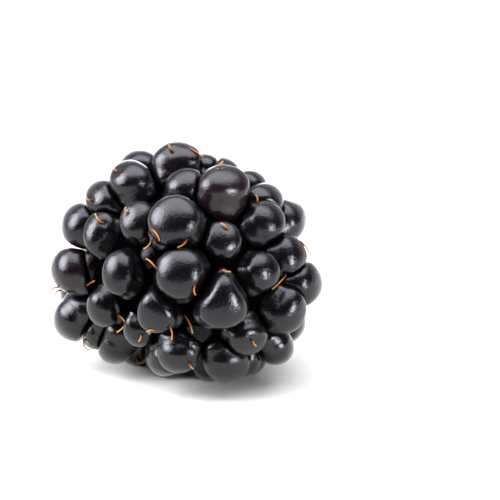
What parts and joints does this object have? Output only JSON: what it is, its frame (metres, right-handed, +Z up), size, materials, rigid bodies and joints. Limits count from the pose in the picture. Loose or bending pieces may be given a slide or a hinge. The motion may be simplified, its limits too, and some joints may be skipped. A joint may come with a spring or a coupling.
{
  "type": "bramble berry",
  "caption": "Ripe dark bramble berry lying on its side: glossy drupelets packed round a pale receptacle, with dry curled styles.",
  "frame": {"origin": "centre of the fruit's box on the surface that it rests on", "axes": "+X along the fruit from its stem end to its tip, +Z up"},
  "size_m": [0.0268, 0.0236, 0.0238],
  "materials": {
    "drupelet_skin": "glossy",
    "receptacle_pith": "matt",
    "dry_style": "satin"
  },
  "bodies": {
    "root": {"drupelets": "drupelet_skin", "receptacle": "receptacle_pith"}
  },
  "joints": []
}
